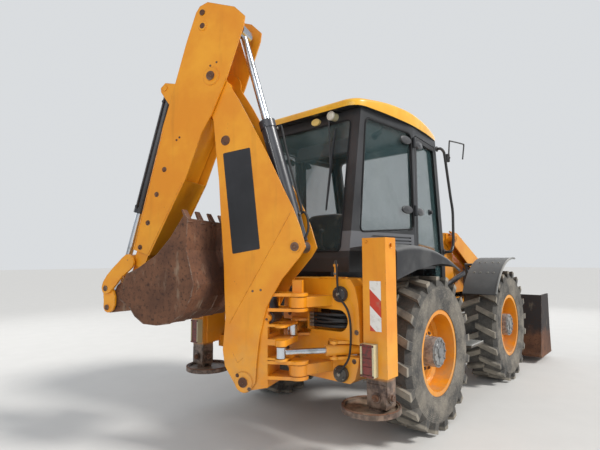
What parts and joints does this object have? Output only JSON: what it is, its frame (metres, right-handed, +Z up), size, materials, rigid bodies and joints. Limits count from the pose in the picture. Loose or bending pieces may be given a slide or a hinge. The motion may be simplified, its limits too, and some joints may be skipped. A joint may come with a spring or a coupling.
{
  "type": "backhoe loader",
  "caption": "Backhoe loader with equal four-wheel steer wheels, a glazed cab, front loader and a folded rear digger slewed to the side",
  "frame": {"origin": "Centre of the overall box in plan, on the ground plane under the tyres", "axes": "X forward towards the loader bucket, Y to the machine's left, Z up"},
  "size_m": [6.3093, 2.4334, 3.7445],
  "materials": {
    "yellow": "yellow-orange machine enamel, sun-faded and scuffed",
    "black": "black enamel",
    "rims": "orange-yellow enamel",
    "tyres": "dusty worn rubber",
    "glass": "lightly tinted greenish safety glass",
    "plastic": "dark grey moulded plastic",
    "chrome": "hard chrome plate",
    "worn": "bare steel, rust brown, worn bright at the edges",
    "seat": "dark woven cloth",
    "lamp": "clear and red lamp lenses"
  },
  "bodies": {
    "chassis": {"chassis_frame": "yellow", "engine_and_gearbox": "black", "nose_grille": "black", "cab_frame": "black", "cab_roof": "yellow", "cab_glass": "glass", "operator_seat": "seat", "controls": "plastic", "rear_mudguards": "plastic", "side_tanks": "plastic", "handrails": "black", "lamps": "lamp", "axle_front": "black", "axle_rear": "black", "rear_frame": "yellow"},
    "bonnet": {"bonnet": "yellow"},
    "door_left": {"door_left": "black"},
    "door_right": {"door_right": "black"},
    "knuckle_front_left": {"knuckle_front_left": "black", "mudguard_front_left": "plastic"},
    "wheel_front_left": {"rim_front_left": "rims", "tyre_front_left": "tyres"},
    "knuckle_front_right": {"knuckle_front_right": "black", "mudguard_front_right": "plastic"},
    "wheel_front_right": {"rim_front_right": "rims", "tyre_front_right": "tyres"},
    "knuckle_rear_left": {"knuckle_rear_left": "black"},
    "wheel_rear_left": {"rim_rear_left": "rims", "tyre_rear_left": "tyres"},
    "knuckle_rear_right": {"knuckle_rear_right": "black"},
    "wheel_rear_right": {"rim_rear_right": "rims", "tyre_rear_right": "tyres"},
    "loader_arms": {"loader_arms": "yellow"},
    "loader_bucket": {"loader_bucket": "worn"},
    "lift_ram_barrels": {"lift_ram_barrels": "black"},
    "lift_ram_rods": {"lift_ram_rods": "chrome"},
    "tilt_ram_barrels": {"tilt_ram_barrels": "black"},
    "tilt_ram_rods": {"tilt_ram_rods": "chrome"},
    "stabiliser_left": {"stabiliser_left": "yellow"},
    "stabiliser_right": {"stabiliser_right": "yellow"},
    "carriage": {"carriage": "yellow", "clamps_and_hoses": "black"},
    "kingpost": {"kingpost": "yellow"},
    "slew_ram_barrel_right": {"slew_ram_barrel_right": "yellow"},
    "slew_ram_rod_right": {"slew_ram_rod_right": "chrome"},
    "slew_ram_barrel_left": {"slew_ram_barrel_left": "yellow"},
    "slew_ram_rod_left": {"slew_ram_rod_left": "chrome"},
    "boom": {"boom": "yellow", "boom_hoses": "black"},
    "boom_ram_barrel": {"boom_ram_barrel": "black"},
    "boom_ram_rod": {"boom_ram_rod": "chrome"},
    "dipper_ram_barrel": {"dipper_ram_barrel": "black"},
    "dipper_ram_rod": {"dipper_ram_rod": "chrome"},
    "dipper": {"dipper": "yellow"},
    "dipper_extension": {"dipper_extension": "black"},
    "bucket_ram_barrel": {"bucket_ram_barrel": "black"},
    "bucket_ram_rod": {"bucket_ram_rod": "chrome"},
    "tipping_lever": {"tipping_lever": "yellow"},
    "tipping_link": {"tipping_link": "yellow"},
    "digging_bucket": {"digging_bucket": "worn"}
  },
  "joints": [
    {"name": "steer_front_left", "type": "hinge", "parent": "chassis", "child": "knuckle_front_left", "pos_m": [1.267, 0.64, 0.7], "axis": [0, 0, 1], "range_deg": [-18, 18]},
    {"name": "wheel_front_left", "type": "hinge", "parent": "knuckle_front_left", "child": "wheel_front_left", "pos_m": [1.267, 0.91, 0.7], "axis": [0, 1, 0], "continuous": true},
    {"name": "steer_front_right", "type": "hinge", "parent": "chassis", "child": "knuckle_front_right", "pos_m": [1.267, -0.64, 0.7], "axis": [0, 0, 1], "range_deg": [-18, 18]},
    {"name": "wheel_front_right", "type": "hinge", "parent": "knuckle_front_right", "child": "wheel_front_right", "pos_m": [1.267, -0.91, 0.7], "axis": [0, 1, 0], "continuous": true},
    {"name": "steer_rear_left", "type": "hinge", "parent": "chassis", "child": "knuckle_rear_left", "pos_m": [-0.95, 0.64, 0.7], "axis": [0, 0, 1], "range_deg": [-18, 18]},
    {"name": "wheel_rear_left", "type": "hinge", "parent": "knuckle_rear_left", "child": "wheel_rear_left", "pos_m": [-0.95, 0.91, 0.7], "axis": [0, 1, 0], "continuous": true},
    {"name": "steer_rear_right", "type": "hinge", "parent": "chassis", "child": "knuckle_rear_right", "pos_m": [-0.95, -0.64, 0.7], "axis": [0, 0, 1], "range_deg": [-18, 18]},
    {"name": "wheel_rear_right", "type": "hinge", "parent": "knuckle_rear_right", "child": "wheel_rear_right", "pos_m": [-0.95, -0.91, 0.7], "axis": [0, 1, 0], "continuous": true},
    {"name": "bonnet_hinge", "type": "hinge", "parent": "chassis", "child": "bonnet", "pos_m": [1.61, 0, 1.528], "axis": [0, 1, 0], "range_deg": [0, 50]},
    {"name": "door_left_hinge", "type": "hinge", "parent": "chassis", "child": "door_left", "pos_m": [-0.725, 0.799, 2], "axis": [0, 0, 1], "range_deg": [0, 80]},
    {"name": "door_right_hinge", "type": "hinge", "parent": "chassis", "child": "door_right", "pos_m": [-0.725, -0.799, 2], "axis": [0, 0, -1], "range_deg": [0, 80]},
    {"name": "loader_lift", "type": "hinge", "parent": "chassis", "child": "loader_arms", "pos_m": [0.93, 0, 1.83], "axis": [0, -1, 0], "range_deg": [-3, 80]},
    {"name": "lift_ram_swing", "type": "hinge", "parent": "chassis", "child": "lift_ram_barrels", "pos_m": [0.65, 0, 1.2], "axis": [0, -1, 0], "range_deg": [-1.72, 45.83]},
    {"name": "lift_ram_stroke", "type": "slide", "parent": "lift_ram_barrels", "child": "lift_ram_rods", "axis": [0.9757, 0, 0.219], "range_m": [-0.0214, 0.5458]},
    {"name": "loader_bucket_tilt", "type": "hinge", "parent": "loader_arms", "child": "loader_bucket", "pos_m": [2.35, 0, 0.25], "axis": [0, 1, 0], "range_deg": [-25, 72]},
    {"name": "tilt_ram_swing", "type": "hinge", "parent": "loader_arms", "child": "tilt_ram_barrels", "pos_m": [1.75, 0, 1.5], "axis": [0, -1, 0], "range_deg": [-2.03, 5.85]},
    {"name": "tilt_ram_stroke", "type": "slide", "parent": "tilt_ram_barrels", "child": "tilt_ram_rods", "axis": [0.619, 0, -0.7854], "range_m": [-0.1502, 0.4307]},
    {"name": "stabiliser_left_slide", "type": "slide", "parent": "chassis", "child": "stabiliser_left", "axis": [0, 0, -1], "range_m": [0, 0.6]},
    {"name": "stabiliser_right_slide", "type": "slide", "parent": "chassis", "child": "stabiliser_right", "axis": [0, 0, -1], "range_m": [0, 0.6]},
    {"name": "side_shift", "type": "slide", "parent": "chassis", "child": "carriage", "axis": [0, -1, 0], "range_m": [-1.11, 0]},
    {"name": "slew", "type": "hinge", "parent": "carriage", "child": "kingpost", "pos_m": [-2.31, -0.555, 1], "axis": [0, 0, 1], "range_deg": [-19, 161]},
    {"name": "slew_ram_right_swing", "type": "hinge", "parent": "carriage", "child": "slew_ram_barrel_right", "pos_m": [-2.115, -0.755, 0.86], "axis": [0, 0, 1], "range_deg": [-1.93, 16.31]},
    {"name": "slew_ram_right_stroke", "type": "slide", "parent": "slew_ram_barrel_right", "child": "slew_ram_rod_right", "axis": [-0.7951, 0.6064, 0], "range_m": [-0.2863, 0.0347]},
    {"name": "slew_ram_left_swing", "type": "hinge", "parent": "carriage", "child": "slew_ram_barrel_left", "pos_m": [-2.115, -0.355, 1], "axis": [0, 0, 1], "range_deg": [-0.26, 2.19]},
    {"name": "slew_ram_left_stroke", "type": "slide", "parent": "slew_ram_barrel_left", "child": "slew_ram_rod_left", "axis": [-0.8464, -0.5326, 0], "range_m": [-0.0349, 0.2883]},
    {"name": "boom_swing", "type": "hinge", "parent": "kingpost", "child": "boom", "pos_m": [-2.43958, -0.17868, 0.62], "axis": [-0.9455, -0.3256, 0], "range_deg": [-4, 125]},
    {"name": "boom_ram_swing", "type": "hinge", "parent": "kingpost", "child": "boom_ram_barrel", "pos_m": [-2.38, -0.35171, 1.11], "axis": [0.9455, 0.3256, 0], "range_deg": [-129.5, 4.14]},
    {"name": "boom_ram_stroke", "type": "slide", "parent": "boom_ram_barrel", "child": "boom_ram_rod", "axis": [-0.0797, 0.2316, 0.9695], "range_m": [-0.0316, 0.9583]},
    {"name": "dipper_swing", "type": "hinge", "parent": "boom", "child": "dipper", "pos_m": [-2.54083, 0.11537, 3.087], "axis": [0.9455, 0.3256, 0], "range_deg": [0, 110]},
    {"name": "dipper_ram_swing", "type": "hinge", "parent": "boom", "child": "dipper_ram_barrel", "pos_m": [-2.29958, -0.58526, 1.655], "axis": [0.9455, 0.3256, 0], "range_deg": [0, 1.24]},
    {"name": "dipper_ram_stroke", "type": "slide", "parent": "dipper_ram_barrel", "child": "dipper_ram_rod", "axis": [-0.0913, 0.265, 0.9599], "range_m": [-0.7889, 0.001]},
    {"name": "dipper_slide", "type": "slide", "parent": "dipper", "child": "dipper_extension", "axis": [-0.1388, 0.403, -0.9046], "range_m": [0, 1]},
    {"name": "bucket_swing", "type": "hinge", "parent": "dipper_extension", "child": "digging_bucket", "pos_m": [-2.84393, 0.99565, 1.295], "axis": [0.9455, 0.3256, 0], "range_deg": [-5, 115]},
    {"name": "tipping_lever_swing", "type": "hinge", "parent": "dipper_extension", "child": "tipping_lever", "pos_m": [-2.80584, 0.88502, 1.56], "axis": [0.9455, 0.3256, 0], "range_deg": [-2.51, 57.75]},
    {"name": "tipping_link_swing", "type": "hinge", "parent": "tipping_lever", "child": "tipping_link", "pos_m": [-2.8856, 1.11668, 1.31], "axis": [0.9455, 0.3256, 0], "range_deg": [-93.27, 4.06]},
    {"name": "bucket_ram_swing", "type": "hinge", "parent": "dipper", "child": "bucket_ram_barrel", "pos_m": [-2.71436, 0.61933, 3.092], "axis": [0.9455, 0.3256, 0], "range_deg": [-0.31, 7.16]},
    {"name": "bucket_ram_stroke", "type": "slide", "parent": "bucket_ram_barrel", "child": "bucket_ram_rod", "axis": [-0.0922, 0.2677, -0.9591], "range_m": [-0.227, 0.0108]}
  ],
  "couplings": [
    {"joint": "steer_front_right", "follows": "steer_front_left", "ratio": 1},
    {"joint": "steer_rear_right", "follows": "steer_rear_left", "ratio": 1},
    {"joint": "lift_ram_swing", "follows": "loader_lift", "ratio": 0.56159},
    {"joint": "lift_ram_stroke", "follows": "loader_lift", "m_per_rad": 0.3825},
    {"joint": "tilt_ram_swing", "follows": "loader_bucket_tilt", "ratio": 0.079699},
    {"joint": "tilt_ram_stroke", "follows": "loader_bucket_tilt", "m_per_rad": 0.33524},
    {"joint": "slew_ram_right_swing", "follows": "slew", "ratio": 0.099313},
    {"joint": "slew_ram_right_stroke", "follows": "slew", "m_per_rad": -0.099524},
    {"joint": "slew_ram_left_swing", "follows": "slew", "ratio": 0.013322},
    {"joint": "slew_ram_left_stroke", "follows": "slew", "m_per_rad": 0.10025},
    {"joint": "boom_ram_swing", "follows": "boom_swing", "ratio": -1.0157},
    {"joint": "boom_ram_stroke", "follows": "boom_swing", "m_per_rad": 0.43017},
    {"joint": "dipper_ram_swing", "follows": "dipper_swing", "ratio": 0.011034},
    {"joint": "dipper_ram_stroke", "follows": "dipper_swing", "m_per_rad": -0.40233},
    {"joint": "tipping_lever_swing", "follows": "bucket_swing", "ratio": 0.49233},
    {"joint": "tipping_link_swing", "follows": "bucket_swing", "ratio": -0.79513},
    {"joint": "bucket_ram_swing", "follows": "bucket_swing", "ratio": 0.061029},
    {"joint": "bucket_ram_stroke", "follows": "bucket_swing", "m_per_rad": -0.11038}
  ]
}
